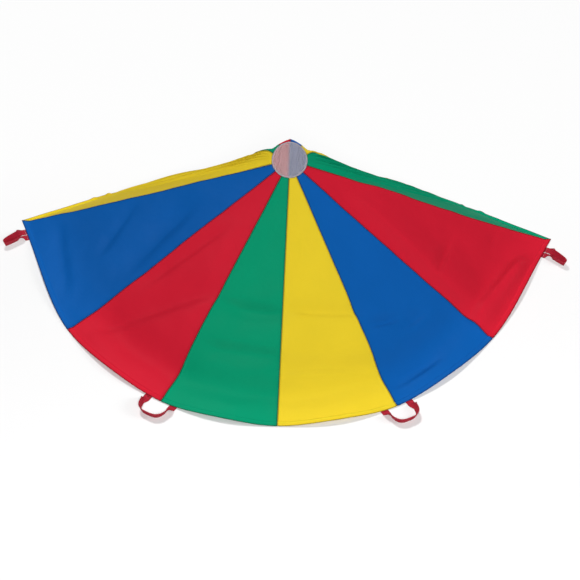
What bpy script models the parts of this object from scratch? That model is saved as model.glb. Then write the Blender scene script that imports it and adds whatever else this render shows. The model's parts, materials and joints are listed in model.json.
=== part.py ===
"""A six foot play parachute: twelve sewn gores, a mesh vent and six webbing handles.

It stands as a low tent. The vent is held up and leans to the front, the front half of the
hem lies spread on the floor, and the back half hangs steeply and gathers in folds.
Metres, +Z up, front along -Y. The origin is the middle of the footprint on the floor.
"""
import math

import bmesh
import bpy
from mathutils import Matrix, Vector

# Cloth
FLAT_RADIUS = 0.914
CLOTH = 0.001
SEAM_WIDTH = 0.010
SEAM_RAISE = 0.0007
HEM_WIDTH = 0.018
HEM_RAISE = 0.0012
STITCH_STEP = 0.0012
TOUCH_GAP = 0.0003

# Vent
VENT_DIAMETER = 0.114
VENT_HEIGHT = 0.320
VENT_TILT = math.radians(38)
RIM_WIDTH = 0.005
RIM_THICKNESS = 0.002
RIM_GAP = 0.0008
NET_PITCH = 0.0075
NET_STRAND = 0.0016
NET_THICKNESS = 0.0010

# Webbing handles
WEBBING_WIDTH = 0.025
WEBBING_THICKNESS = 0.0015
TAB_LENGTH = 0.026
TAB_SHOWS = 0.003
LOOP_SPREAD = 0.088
LOOP_REACH = 0.069
PINCHED_SPREAD = 0.027
CORNER_REACH = 0.078
CORNER_GRIP_SHARE = 0.76
BACK_REACH = 0.043
BACK_GRIP_SHARE = 2.3
FLAT_LENGTH = 0.006
TWIST_LENGTH = 0.026
LOOP_TILT = math.radians(70)
CORNER_SWEEP = math.radians(23)

# Folds of the back half, which begin some gores behind each corner
FOLD_DEPTH = 0.185
FOLDS_BEGIN_GORES = 0.6
FOLDS_GROW_GORES = 0.7
FOLD_OPENING_POWER = 1.3
ROLL_HEIGHT = 0.022
PANEL_SAG = 0.007
SHOULDER_RISE = 0.028
SHOULDER_REACH = 0.065

# The seams are counted from the left corner, round the front to the right corner, and back
FRONT_GORES = 6
GORES = 2 * FRONT_GORES
FRONT_HEM_DEGREES = [178.7, 215.5, 244.9, 269.6, 295.3, 326.1, 362.1]
FRONT_HEM_SHARES = [0.938, 0.898, 0.932, 0.937, 0.910, 0.863, 0.937]
BACK_HEM_DEGREES = [362.1, 386.0, 416.0, 450.0, 484.0, 514.0, 538.7]
BACK_HEM_SHARES = [0.937, 0.565, 0.345, 0.450, 0.345, 0.560, 0.938]
FRONT_SLOPE_POWER = 1.04
BACK_SLOPE_POWERS = [FRONT_SLOPE_POWER, 0.92, 2.0, 2.4, 2.0, 0.92, FRONT_SLOPE_POWER]
FRONT_VENT_DEGREES = (195, 345)
BACK_VENT_DEGREES = (345, 555)
CORNER_HANDLE_GORES = 0.13

COLOURS = {
    "blue": (0.004, 0.105, 0.400, 1),
    "red": (0.500, 0.016, 0.035, 1),
    "green": (0.002, 0.300, 0.150, 1),
    "yellow": (0.760, 0.570, 0.030, 1),
}
GORE_COLOURS = ["blue", "red", "green", "yellow"]
WEBBING_RED = (0.360, 0.025, 0.045, 1)
NET_GREY = (0.300, 0.270, 0.330, 1)
RIM_GREY = (0.330, 0.300, 0.330, 1)
CLOTH_ROUGHNESS = 0.6
VENT_ROUGHNESS = 0.7
WEBBING_ROUGHNESS = 0.75

# Steps of the meshes
STEPS_DOWN = 12
FRONT_STEPS_ACROSS = 3
BACK_STEPS_ACROSS = 8
RING_STEPS = 60
LOOP_STEPS = 22
ROW_CROWDING_POWER = 1.5
NORMAL_SPAN_GORES = 0.08
HEM_SPAN_GORES = 0.02
LOOP_ROUNDING_POWER = 0.62

VENT_RADIUS = VENT_DIAMETER / 2
HEM_LIFT = WEBBING_THICKNESS + TOUCH_GAP


def seam_ends(degrees, shares):
    """Where the seams meet the hem on the floor, seen from under the vent."""
    angles = [math.radians(angle) for angle in degrees]
    return [Vector((math.cos(a), math.sin(a), 0)) * FLAT_RADIUS * r for a, r in zip(angles, shares)]


FRONT_HEM = seam_ends(FRONT_HEM_DEGREES, FRONT_HEM_SHARES)
BACK_HEM = seam_ends(BACK_HEM_DEGREES, BACK_HEM_SHARES)


def smooth(values, x):
    """Read a table with a curve that passes through its values."""
    last = len(values) - 1
    i = min(int(x), last - 1)
    a, b = values[i], values[i + 1]
    before = values[i - 1] if i > 0 else 2 * a - b
    after = values[i + 2] if i + 2 <= last else 2 * b - a
    slope_a, slope_b = (b - before) / 2, (after - a) / 2
    t = x - i
    cubic = (2 * t - 3) * t * t
    return a * (1 + cubic) - b * cubic + slope_a * t * (1 - t) ** 2 - slope_b * t * t * (1 - t)


def ease(x):
    x = min(max(x, 0), 1)
    return x * x * (3 - 2 * x)


def place_on_seams(u):
    """Say whether u, counted in gores, lies at the back, and how far into that half."""
    u = u % GORES
    return u > FRONT_GORES, u - FRONT_GORES if u > FRONT_GORES else u


def gores_behind(u):
    """How far u lies behind the nearer corner, counted in gores."""
    at_back, x = place_on_seams(u)
    return min(x, FRONT_GORES - x) if at_back else 0


def vent_edge(u):
    """A point on the leaning edge of the vent."""
    at_back, x = place_on_seams(u)
    first, last = BACK_VENT_DEGREES if at_back else FRONT_VENT_DEGREES
    angle = math.radians(first + (last - first) * x / FRONT_GORES)
    flat = Vector((math.cos(angle), math.sin(angle), 0)) * VENT_RADIUS
    return Matrix.Rotation(VENT_TILT, 3, "X") @ flat + Vector((0, 0, VENT_HEIGHT))


def hem_point(u):
    """A point of the hem on the floor, before the folds draw it in."""
    at_back, x = place_on_seams(u)
    return smooth(BACK_HEM if at_back else FRONT_HEM, x)


def slant(u):
    return (vent_edge(u) - hem_point(u)).length


def cloth_point(u, t):
    """The underside of the canopy: t runs from 0 at the vent to 1 at the hem."""
    at_back, x = place_on_seams(u)
    top, foot = vent_edge(u), hem_point(u)
    steepness = smooth(BACK_SLOPE_POWERS, x) if at_back else FRONT_SLOPE_POWER
    slack = ease((gores_behind(u) - FOLDS_BEGIN_GORES) / FOLDS_GROW_GORES)
    middle_of_gore = math.sin(math.pi * u) ** 2
    drawn_in = FOLD_DEPTH * slack * middle_of_gore ** 2 * t ** FOLD_OPENING_POWER
    plan = top.lerp(foot, t)
    plan -= foot.normalized() * drawn_in
    on_floor = 1 - (HEM_WIDTH + 2 * STITCH_STEP) / slant(u)
    fall = max(1 - t / on_floor, 0)
    height = HEM_LIFT + (top.z - HEM_LIFT) * fall ** steepness
    spread = math.sin(math.pi * min(t / on_floor, 1)) ** 2
    height -= PANEL_SAG * (1 - slack) * middle_of_gore * spread
    rolls = math.sin(math.tau * min(t / on_floor, 1)) ** 2 if t > on_floor / 2 else 0
    height += ROLL_HEIGHT * slack * rolls
    near_vent = t * slant(u) / SHOULDER_REACH
    shoulder = ease(gores_behind(u) / FOLDS_GROW_GORES) * near_vent * math.exp(1 - near_vent)
    height += SHOULDER_RISE * shoulder * fall
    return Vector((plan.x, plan.y, height))


def cloth_directions(u, t):
    """Unit vectors across the gores and square to the cloth, the same for both gores at a seam."""
    along = STITCH_STEP / slant(u)
    side = cloth_point(u + NORMAL_SPAN_GORES, t) - cloth_point(u - NORMAL_SPAN_GORES, t)
    down = cloth_point(u, min(t + along, 1)) - cloth_point(u, max(t - along, 0))
    return side.normalized(), down.cross(side).normalized()


def even_steps(first, last, count):
    return [first + (last - first) * i / count for i in range(count + 1)]


def finish(name, mesh, colour, roughness, parent):
    """Give a mesh its object, its material and its parent."""
    material = bpy.data.materials.get(name) or bpy.data.materials.new(name)
    material.use_nodes = True
    shader = material.node_tree.nodes["Principled BSDF"]
    shader.inputs["Base Color"].default_value = colour
    shader.inputs["Roughness"].default_value = roughness
    shader.inputs["Metallic"].default_value = 0
    mesh.materials.append(material)
    piece = bpy.data.objects.new(name, mesh)
    bpy.context.collection.objects.link(piece)
    piece.parent = parent
    return piece


def mesh_from(name, build):
    """Run a function that fills a bmesh, and turn its faces outwards."""
    bm = bmesh.new()
    build(bm)
    bmesh.ops.recalc_face_normals(bm, faces=bm.faces)
    mesh = bpy.data.meshes.new(name)
    bm.to_mesh(mesh)
    bm.free()
    return mesh


def add_quad(bm, a, b, c, d):
    """Two triangles that always meet along the line from a to c."""
    bm.faces.new((a, b, c))
    bm.faces.new((a, c, d))


def skin_both_sides(bm, upper, lower):
    """Close two matching grids of points into one thin solid."""
    top, bottom = [[[bm.verts.new(p) for p in row] for row in side] for side in (upper, lower)]
    rows, columns = len(upper), len(upper[0])
    for j in range(rows - 1):
        for grid in (top, bottom):
            for i in range(columns - 1):
                add_quad(bm, grid[j][i], grid[j][i + 1], grid[j + 1][i + 1], grid[j + 1][i])
        for i in (0, columns - 1):
            add_quad(bm, top[j][i], bottom[j][i], bottom[j + 1][i], top[j + 1][i])
    for i in range(columns - 1):
        for j in (0, rows - 1):
            add_quad(bm, top[j][i], bottom[j][i], bottom[j][i + 1], top[j][i + 1])


def gore_rows(u):
    """Stations from the vent to the hem, with a close pair where the hem begins."""
    length = slant(u)
    hem_starts = 1 - HEM_WIDTH / length
    last = hem_starts - STITCH_STEP / length
    return [last * share ** ROW_CROWDING_POWER for share in even_steps(0, 1, STEPS_DOWN)] + [hem_starts, 1]


def gore_columns(width, count):
    """Shares across a gore, with a close pair beside each of its two seams."""
    seam = SEAM_WIDTH / 2 / width
    panel = seam + STITCH_STEP / width
    return [0, seam] + even_steps(panel, 1 - panel, count) + [1 - seam, 1]


def add_gore(index, parent):
    """One wedge of cloth with its turned hem and its felled seam."""
    across = BACK_STEPS_ACROSS if index >= FRONT_GORES else FRONT_STEPS_ACROSS
    upper, lower = [], []
    for j, middle_t in enumerate(gore_rows(index + 0.5)):
        width = (cloth_point(index, middle_t) - cloth_point(index + 1, middle_t)).length
        upper.append([])
        lower.append([])
        shares = gore_columns(width, across)
        for i, share in enumerate(shares):
            u = index + share
            t = gore_rows(u)[j]
            side, normal = cloth_directions(u, t)
            under = cloth_point(u, t)
            if share in (0, 1):
                under += side * TOUCH_GAP * (0.5 - share)
            thickness = CLOTH
            thickness += SEAM_RAISE if i < 2 or i >= len(shares) - 2 else 0
            thickness += HEM_RAISE if j > STEPS_DOWN else 0
            lower[j].append(under)
            upper[j].append(under + normal * thickness)
    colour = GORE_COLOURS[index % len(GORE_COLOURS)]
    name = f"gore_{index + 1:02d}_{colour}"
    mesh = mesh_from(name, lambda bm: skin_both_sides(bm, upper, lower))
    return finish(name, mesh, COLOURS[colour], CLOTH_ROUGHNESS, parent)


def add_ring(bm, outer, inner, thickness):
    """A flat ring, centred on the plane z = 0."""
    corners = [(outer, -thickness / 2), (outer, thickness / 2)]
    corners += [(inner, thickness / 2), (inner, -thickness / 2)]
    turns = [math.tau * i / RING_STEPS for i in range(RING_STEPS)]
    loops = [[bm.verts.new((r * math.cos(a), r * math.sin(a), z)) for r, z in corners] for a in turns]
    for here, there in zip(loops, loops[1:] + loops[:1]):
        for i in range(len(corners)):
            k = (i + 1) % len(corners)
            bm.faces.new((here[i], here[k], there[k], there[i]))


def add_disc(bm, radius, thickness):
    bmesh.ops.create_cone(bm, cap_ends=True, segments=RING_STEPS, radius1=radius, radius2=radius,
                          depth=thickness)


def add_net_holes(bm, radius):
    """Square prisms, one for each gap of the net, wherever its middle is inside the circle."""
    reach = math.ceil(radius / NET_PITCH)
    hole = NET_PITCH - NET_STRAND
    for column in range(-reach, reach):
        for row in range(-reach, reach):
            middle = Vector((column + 0.5, row + 0.5, 0)) * NET_PITCH
            if middle.length < radius - hole / 4:
                size = Matrix.Diagonal((hole, hole, 3 * NET_THICKNESS, 1))
                bmesh.ops.create_cube(bm, size=1, matrix=Matrix.Translation(middle) @ size)


def cut(piece, other, operation):
    """Apply one exact Boolean to a piece."""
    modifier = piece.modifiers.new(operation, "BOOLEAN")
    modifier.object = other
    modifier.operation = operation
    modifier.solver = "EXACT"
    bpy.context.view_layer.update()
    shape = piece.evaluated_get(bpy.context.evaluated_depsgraph_get())
    mesh = bpy.data.meshes.new_from_object(shape)
    piece.modifiers.clear()
    piece.data = mesh


def add_vent(parent):
    """The mesh disc, and the rim that it is sewn to."""
    leaning = Matrix.Translation((0, 0, VENT_HEIGHT)) @ Matrix.Rotation(VENT_TILT, 4, "X")
    rim_outer = VENT_RADIUS - RIM_GAP
    rim_inner = rim_outer - RIM_WIDTH
    rim_mesh = mesh_from("vent_rim", lambda bm: add_ring(bm, rim_outer, rim_inner, RIM_THICKNESS))
    rim = finish("vent_rim", rim_mesh, RIM_GREY, VENT_ROUGHNESS, parent)
    rim.matrix_local = leaning

    net_radius = rim_inner - TOUCH_GAP
    gaps_radius = net_radius - NET_STRAND
    net_mesh = mesh_from("vent_net", lambda bm: add_disc(bm, net_radius, NET_THICKNESS))
    net = finish("vent_net", net_mesh, NET_GREY, VENT_ROUGHNESS, parent)
    holes_mesh = mesh_from("net_holes", lambda bm: add_net_holes(bm, gaps_radius))
    holes = bpy.data.objects.new("net_holes", holes_mesh)
    limit_mesh = mesh_from("net_limit", lambda bm: add_disc(bm, gaps_radius, 4 * NET_THICKNESS))
    limit = bpy.data.objects.new("net_limit", limit_mesh)
    for cutter in (holes, limit):
        bpy.context.collection.objects.link(cutter)
        cutter.hide_render = True
        cutter.display_type = "WIRE"
    cut(holes, limit, "INTERSECT")
    cut(net, holes, "DIFFERENCE")
    for cutter in (holes, limit):
        bpy.data.objects.remove(cutter)
    net.matrix_local = leaning


def twisted(out):
    """How far the webbing has turned up on edge, from 0 to 1, at a distance from its hinge."""
    return ease((out - FLAT_LENGTH) / TWIST_LENGTH)


def loop_path(shape, turn):
    """Middle line of a handle on the floor: turn runs from 0 to 1, hinge along X."""
    spread, reach, grip_share, sweep = shape
    angle = math.pi * turn
    along = -math.cos(angle)
    out = reach * abs(math.sin(angle)) ** LOOP_ROUNDING_POWER
    width = spread * (1 + (grip_share - 1) * twisted(out) ** 2)
    x = math.copysign(abs(along) ** LOOP_ROUNDING_POWER, along) * width / 2
    swept = out * math.tan(sweep) * twisted(out)
    return Vector((x + swept, TOUCH_GAP + out, 0))


def add_loop(bm, shape):
    """A webbing loop: flat at its sewn ends, and twisted up on edge at the grip, leaning out."""
    sections = []
    turns = [(1 - math.cos(math.pi * share)) / 2 for share in even_steps(0, 1, LOOP_STEPS)]
    for turn in turns:
        here = loop_path(shape, turn)
        before, after = loop_path(shape, max(turn - 0.01, 0)), loop_path(shape, min(turn + 0.01, 1))
        inwards = (after - before).cross(Vector((0, 0, 1))).normalized()
        if turn in (turns[0], turns[-1]):
            inwards = Vector((math.copysign(1, -here.x), 0, 0))
        tilt = LOOP_TILT * twisted(here.y - TOUCH_GAP)
        wide = inwards * math.cos(tilt) - Vector((0, 0, math.sin(tilt)))
        thin = inwards * math.sin(tilt) + Vector((0, 0, math.cos(tilt)))
        rise = WEBBING_WIDTH / 2 * math.sin(tilt) + WEBBING_THICKNESS / 2 * math.cos(tilt)
        middle = here + Vector((0, 0, rise - WEBBING_THICKNESS))
        half_wide, half_thin = wide * WEBBING_WIDTH / 2, thin * WEBBING_THICKNESS / 2
        corners = [half_wide + half_thin, half_wide - half_thin]
        corners += [-half_wide - half_thin, -half_wide + half_thin]
        sections.append([bm.verts.new(middle + corner) for corner in corners])
    for here, there in zip(sections, sections[1:]):
        for i in range(4):
            k = (i + 1) % 4
            bm.faces.new((here[i], here[k], there[k], there[i]))
    bm.faces.new(sections[0])
    bm.faces.new(sections[-1])


def handle_frame(u, spread):
    """Where a handle hinges: just outside the hem, X along the hem and Y outwards."""
    legs = [folded_hem(u - spread / 2 / hem_step(u)), folded_hem(u + spread / 2 / hem_step(u))]
    along = (legs[0] - legs[1]).normalized()
    out = Vector((0, 0, 1)).cross(along)
    if out.dot(folded_hem(u)) < 0:
        along, out = -along, -out
    middle = folded_hem(u)
    edge = max(point.dot(out) for point in legs + [middle])
    origin = middle + out * (edge - middle.dot(out) + TAB_SHOWS)
    origin.z = WEBBING_THICKNESS
    turn = Matrix((along, out, (0, 0, 1))).transposed().to_4x4()
    return Matrix.Translation(origin) @ turn


def folded_hem(u):
    point = cloth_point(u, 1)
    return Vector((point.x, point.y, 0))


def hem_step(u):
    """Length of hem for one whole gore, measured close to u."""
    ends = [folded_hem(u + HEM_SPAN_GORES), folded_hem(u - HEM_SPAN_GORES)]
    return (ends[0] - ends[1]).length / (2 * HEM_SPAN_GORES)


def add_box(bm, low, high):
    size = Matrix.Diagonal((*(high - low), 1))
    bmesh.ops.create_cube(bm, size=1, matrix=Matrix.Translation((low + high) / 2) @ size)


def add_handle(number, u, shape, parent):
    """One loop on its hinge, and the two tabs that are sewn under the hem."""
    spread = shape[0]
    frame = handle_frame(u, spread)
    name = f"handle_{number}"
    mesh = mesh_from(name, lambda bm: add_loop(bm, shape))
    handle = finish(name, mesh, WEBBING_RED, WEBBING_ROUGHNESS, parent)
    handle.matrix_local = frame
    for side, place in (("a", -spread / 2), ("b", spread / 2)):
        low = Vector((place - WEBBING_WIDTH / 2, -TAB_LENGTH, -WEBBING_THICKNESS))
        high = Vector((place + WEBBING_WIDTH / 2, -TOUCH_GAP, 0))
        tab_name = f"handle_{number}_tab_{side}"
        tab_mesh = mesh_from(tab_name, lambda bm: add_box(bm, low, high))
        tab = finish(tab_name, tab_mesh, WEBBING_RED, WEBBING_ROUGHNESS, parent)
        tab.matrix_local = frame


def centre_on_floor(parent):
    """Move everything so that the middle of its footprint is the origin."""
    bpy.context.view_layer.update()
    pieces = [o for o in bpy.data.objects if o.type == "MESH"]
    corners = [piece.matrix_world @ vertex.co for piece in pieces for vertex in piece.data.vertices]
    for axis in (0, 1):
        places = [corner[axis] for corner in corners]
        parent.location[axis] = -(min(places) + max(places)) / 2
    bpy.context.view_layer.update()


def main():
    for old in list(bpy.data.objects):
        bpy.data.objects.remove(old)
    parachute = bpy.data.objects.new("parachute", None)
    bpy.context.collection.objects.link(parachute)
    for index in range(GORES):
        add_gore(index, parachute)
    add_vent(parachute)
    open_shape = (LOOP_SPREAD, LOOP_REACH, 1, 0)
    left_shape = (PINCHED_SPREAD, CORNER_REACH, CORNER_GRIP_SHARE, -CORNER_SWEEP)
    right_shape = (PINCHED_SPREAD, CORNER_REACH, CORNER_GRIP_SHARE, CORNER_SWEEP)
    back_shape = (PINCHED_SPREAD, BACK_REACH, BACK_GRIP_SHARE, 0)
    add_handle(1, CORNER_HANDLE_GORES, left_shape, parachute)
    add_handle(2, 2, open_shape, parachute)
    add_handle(3, 4, open_shape, parachute)
    add_handle(4, FRONT_GORES - CORNER_HANDLE_GORES, right_shape, parachute)
    add_handle(5, 8, back_shape, parachute)
    add_handle(6, 10, back_shape, parachute)
    centre_on_floor(parachute)


main()
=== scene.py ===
# %% [markdown]
# # A play parachute, set up as a low tent
#
# A play parachute is a big disc of thin nylon. It is sewn from wedge-shaped panels, called gores,
# that meet at a round mesh vent, and it has webbing loops for the players' hands along its hem.
# Here the vent is held up, the front half of the hem lies spread on the floor, and the back half
# hangs down behind in pleats.
#
# The frame that is loaded first is the plain model of the same object, in metres, with +Z up and
# the front along -Y. Everything below is made to fit it.

import json
import math

import bmesh
import bpy
import numpy as np
from mathutils import Matrix, Vector, noise


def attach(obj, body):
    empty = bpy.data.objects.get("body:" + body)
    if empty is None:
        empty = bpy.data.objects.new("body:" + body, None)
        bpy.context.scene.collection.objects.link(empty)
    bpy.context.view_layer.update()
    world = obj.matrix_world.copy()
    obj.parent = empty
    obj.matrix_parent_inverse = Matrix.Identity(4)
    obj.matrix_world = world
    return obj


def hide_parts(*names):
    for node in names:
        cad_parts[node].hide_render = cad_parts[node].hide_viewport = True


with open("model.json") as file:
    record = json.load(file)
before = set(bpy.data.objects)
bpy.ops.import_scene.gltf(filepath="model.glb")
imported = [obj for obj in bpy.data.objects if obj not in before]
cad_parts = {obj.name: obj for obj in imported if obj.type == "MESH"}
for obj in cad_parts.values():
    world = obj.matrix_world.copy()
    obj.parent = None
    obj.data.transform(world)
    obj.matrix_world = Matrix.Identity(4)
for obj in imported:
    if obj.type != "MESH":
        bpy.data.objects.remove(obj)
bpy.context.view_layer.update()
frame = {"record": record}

# %% [markdown]
# ## Camera
#
# The photograph looks down on the tent at about 43 degrees, from far enough away that parallel
# lines stay nearly parallel. A long lens at almost nine metres gives the same flat look. The
# camera is also rolled by a couple of degrees, because the tent's two corners aren't level in the
# picture.

# %% Camera
CAMERA_PLACE = Vector((0.0016, -6.441, 6.022))
CAMERA_AIM = Vector((0.0202, -0.0325, 0.0))
CAMERA_ROLL = math.radians(2.41)
IMAGE_WIDTH_PIXELS = 580
FOCAL_PIXELS = 2782
SENSOR_WIDTH_MM = 36
FARTHEST_SEEN = 100


def aim_camera(place, aim, roll):
    """A camera at a place, turned to look at another and rolled about its own line of sight."""
    camera = bpy.data.objects.new("camera", bpy.data.cameras.new("camera"))
    bpy.context.scene.collection.objects.link(camera)
    look = (aim - place).to_track_quat("-Z", "Y").to_matrix().to_4x4()
    camera.matrix_world = Matrix.Translation(place) @ look @ Matrix.Rotation(roll, 4, "Z")
    camera.data.sensor_width = SENSOR_WIDTH_MM
    camera.data.lens = FOCAL_PIXELS / IMAGE_WIDTH_PIXELS * camera.data.sensor_width
    camera.data.clip_end = FARTHEST_SEEN
    bpy.context.scene.camera = camera
    return camera


camera = aim_camera(CAMERA_PLACE, CAMERA_AIM, CAMERA_ROLL)
print("lens in millimetres:", round(camera.data.lens, 1))

# %% [markdown]
# ## Shader maths in plain Python
#
# A material is a graph of nodes, but most of it is ordinary arithmetic. The small class below
# wraps a socket and teaches it Python's operators, so `1 - mask * 0.3` builds its own Math nodes.
# The reflected forms, whose names start with an r, are what Python uses when the plain number
# stands on the left.

# %% A socket with operators
class Wire:
    """The value that comes out of a socket, with Python's operators."""

    def __init__(self, paint, socket):
        self.paint = paint
        self.socket = socket

    def maths(self, operation, *values):
        return self.paint.node("ShaderNodeMath", {"operation": operation}, dict(enumerate(values)))

    def __add__(self, other):
        return self.maths("ADD", self, other)

    def __sub__(self, other):
        return self.maths("SUBTRACT", self, other)

    def __rsub__(self, other):
        return self.maths("SUBTRACT", other, self)

    def __mul__(self, other):
        return self.maths("MULTIPLY", self, other)

    def __truediv__(self, other):
        return self.maths("DIVIDE", self, other)

    def __rtruediv__(self, other):
        return self.maths("DIVIDE", other, self)

    def __lt__(self, other):
        return self.maths("LESS_THAN", self, other)

    def __abs__(self):
        return self.maths("ABSOLUTE", self)

    def __or__(self, other):
        """The larger of two masks."""
        return self.maths("MAXIMUM", self, other)

    __radd__ = __add__
    __rmul__ = __mul__
    __ror__ = __or__

    def fraction(self):
        return self.maths("FRACT", self)

    def out(self, name):
        """Another output of the same node."""
        return Wire(self.paint, self.socket.node.outputs[name])


print("operators on sockets: + - * / < | and abs")

# %% [markdown]
# ## One material at a time
#
# `Paint` holds one material. Every node that isn't plain arithmetic comes from its method `node`,
# which takes the node's type, its settings, and what goes into its sockets. The other methods are
# short names for the few nodes that each finish here needs. A value that changes over the surface
# is linked, and one that is the same everywhere is set on the shader itself.

# %% A material as expressions
class Paint:
    """One material, whose nodes are written as expressions."""

    def __init__(self, name):
        self.material = bpy.data.materials.new(name)
        self.material.use_nodes = True
        self.tree = self.material.node_tree
        self.shader = self.tree.nodes["Principled BSDF"]

    def put(self, socket, value):
        if isinstance(value, Wire):
            self.tree.links.new(value.socket, socket)
        else:
            socket.default_value = value

    def node(self, kind, settings=None, sockets=None, output=0):
        made = self.tree.nodes.new(kind)
        for setting, value in (settings or {}).items():
            setattr(made, setting, value)
        for name, value in (sockets or {}).items():
            self.put(made.inputs[name], value)
        return Wire(self, made.outputs[output])

    def coat(self, **sockets):
        """Set the shader's own sockets, named with underscores for spaces."""
        for name, value in sockets.items():
            self.put(self.shader.inputs[name.replace("_", " ")], value)
        return self.material

    def blend(self, factor, other):
        """Mix another shader into this one before it reaches the surface."""
        both = self.node("ShaderNodeMixShader", None, {0: factor, 2: other})
        self.tree.links.new(self.shader.outputs[0], both.socket.node.inputs[1])
        self.tree.links.new(both.socket, self.tree.nodes["Material Output"].inputs[0])

    def uv(self, name):
        """The two coordinates of a UV map, which here are metres on the cloth."""
        place = self.node("ShaderNodeUVMap", {"uv_map": name})
        split = self.node("ShaderNodeSeparateXYZ", None, {0: place})
        return split, split.out("Y")

    def place(self):
        """Where a point lies on its own object, in metres."""
        return self.node("ShaderNodeTexCoord", None, None, "Object")

    def vector(self, x, y, z=0.0):
        return self.node("ShaderNodeCombineXYZ", None, {0: x, 1: y, 2: z})

    def grain(self, vector, scale, detail=2.0, roughness=0.5):
        """Noise from 0 to 1, with most of it near one half."""
        return self.node("ShaderNodeTexNoise", None, {
            "Vector": vector, "Scale": scale, "Detail": detail, "Roughness": roughness})

    def mix(self, factor, first, second):
        """A colour between two others."""
        return self.node("ShaderNodeMix", {"data_type": "RGBA"}, {0: factor, 6: first, 7: second}, 2)

    def fade(self, value, start, end):
        """From 1 at start to 0 at end, with soft ends."""
        return self.node("ShaderNodeMapRange", {"interpolation_type": "SMOOTHSTEP"}, {
            "Value": value, "From Min": start, "From Max": end, "To Min": 1.0, "To Max": 0.0})

    def bump(self, height, distance, strength):
        """A height in the surface too small to model, as a normal."""
        return self.node("ShaderNodeBump", None, {
            "Height": height, "Distance": distance, "Strength": strength})


def shade(colour, factor):
    """A lighter or darker colour, kept within 0 to 1."""
    return tuple(min(max(channel * factor, 0), 1) for channel in colour[:3]) + (1,)


print("a lighter grey:", shade((0.5, 0.5, 0.5), 1.2))

# %% [markdown]
# ## Stitches
#
# A row of stitches is a dashed line at a fixed distance from an edge. Two masks make it: one is 1
# within the width of the thread, and the other is 1 along the stitch and 0 in the gap to the next.
# Their product is the row. Modelled threads would look no better at this size.

# %% Stitches
STITCH_LENGTH = 0.0032
STITCH_SHARE = 0.68
STITCH_THREAD = 0.0009


def stitches(away, along, row):
    """A mask with a row of stitches, row metres from an edge."""
    in_line = abs(away - row) < STITCH_THREAD / 2
    return in_line * ((along / STITCH_LENGTH).fraction() < STITCH_SHARE)


print("stitches to a metre:", round(1 / STITCH_LENGTH))

# %% [markdown]
# ## The nylon
#
# Light nylon is smooth and a little shiny. Up close it shows its weave, and along each seam it
# puckers, because the thread pulls it in. The cloth's UV map holds metres, so the weave, the
# stitches and the puckers all have real sizes. A second UV map holds how far each point is from
# its seam and from the hem, which puts a row of stitches on each side of a seam and one on the hem.
#
# The cloth is doubled at seams and hem. Right in the join it is painted darker, as painted shade in
# the seam's crease, and the hem's folded edge has a painted shadow line and its crest a painted
# highlight. The band by the hem is painted lighter: painted light, where the flat cloth lies on the
# white floor. These marks are laid over the plain colour one after the other, each with its own
# strength and shade.
#
# A little of the light passes through such thin cloth. That is why the inside of the tent glows
# in the colour of its gores, and a Translucent shader in the mix gives that.

# %% Nylon
NYLON = {
    "blue": (0.0037, 0.1060, 0.4050, 1),
    "red": (0.6000, 0.0130, 0.0330, 1),
    "green": (0.0015, 0.3000, 0.1500, 1),
    "yellow": (0.7700, 0.5900, 0.0260, 1),
}
SEAM_HALF_WIDTH = 0.005
HEM_WIDTH = 0.018
SEAM_STITCHES = SEAM_HALF_WIDTH * 0.72
HEM_STITCHES = HEM_WIDTH * 0.86
HEM_CREST = HEM_WIDTH * 0.80
SEAM_PULL = (SEAM_HALF_WIDTH * 0.6, 0.030)
HEM_PULL = (HEM_WIDTH * 0.7, 0.045)
# painted shade in the seam's crease, right in the join
JOIN_SHADE_FADE = (0.0012, 0.0050)
# painted shade along the hem's folded edge
HEM_EDGE_SHADE_FADE = (0.0010, 0.0048)
# painted highlight along the crest of the hem
CREST_HIGHLIGHT_FADE = (0.0010, 0.0040)
# painted light: the band by the hem is painted lighter
HEM_LIGHT_BAND = (0.02, 0.20)
# how strongly each mark shows, and how light it is against the cloth
DOUBLED_MARK = (0.30, 1.10)
STITCH_MARK = (0.55, 1.35)
# painted shade in the seam's crease
JOIN_SHADE_MARK = (0.62, 0.22)
# painted highlight on the hem's crest
CREST_HIGHLIGHT_MARK = (0.30, 1.60)
# painted shade along the hem's folded edge
HEM_EDGE_SHADE_MARK = (0.70, 0.16)
# the last of these is painted light, for the lighter band by the hem
FADED, FRESH, HEM_PAINTED_LIGHT = 0.93, 1.07, 1.18
# the grain of the noise, in patches to a metre
WEAVE_ACROSS, WEAVE_ALONG = 1500, 160
PUCKER_LONG, SEAM_PUCKERS, HEM_PUCKERS = 12, 75, 70
CRUMPLE_GRAIN, DRIFT_GRAIN = 22.0, 5.0
# relief in millimetres
RELIEF_UNIT = 0.001
WEAVE_RELIEF, CRUMPLE_RELIEF, PUCKER_RELIEF, STITCH_RELIEF = 0.10, 2.6, 1.5, 0.35
RELIEF_STRENGTH = 0.8
NYLON_ROUGHNESS, ROUGHNESS_DRIFT, NYLON_GLOSS = 0.50, 0.12, 0.04
LIGHT_THROUGH_CLOTH = 0.30


def nylon_relief(paint, across, down, from_seam, from_hem, rows):
    """The height of the weave, the crumples, the puckers and the stitches."""
    warp = paint.grain(paint.vector(across * WEAVE_ACROSS, down * WEAVE_ALONG), 1.0, 1.0)
    weft = paint.grain(paint.vector(across * WEAVE_ALONG, down * WEAVE_ACROSS), 1.0, 1.0)
    crumple = paint.grain(paint.vector(across, down), CRUMPLE_GRAIN, 4.0, 0.55)
    by_seam = paint.vector(from_seam * PUCKER_LONG, down * SEAM_PUCKERS)
    by_hem = paint.vector(across * HEM_PUCKERS, from_hem * PUCKER_LONG)
    puckers = (paint.grain(by_seam, 1.0, 1.5) * paint.fade(from_seam, *SEAM_PULL)
               + paint.grain(by_hem, 1.0, 1.5) * paint.fade(from_hem, *HEM_PULL))
    return ((warp + weft) * WEAVE_RELIEF + crumple * CRUMPLE_RELIEF + puckers * PUCKER_RELIEF
            + rows * STITCH_RELIEF)


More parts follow.
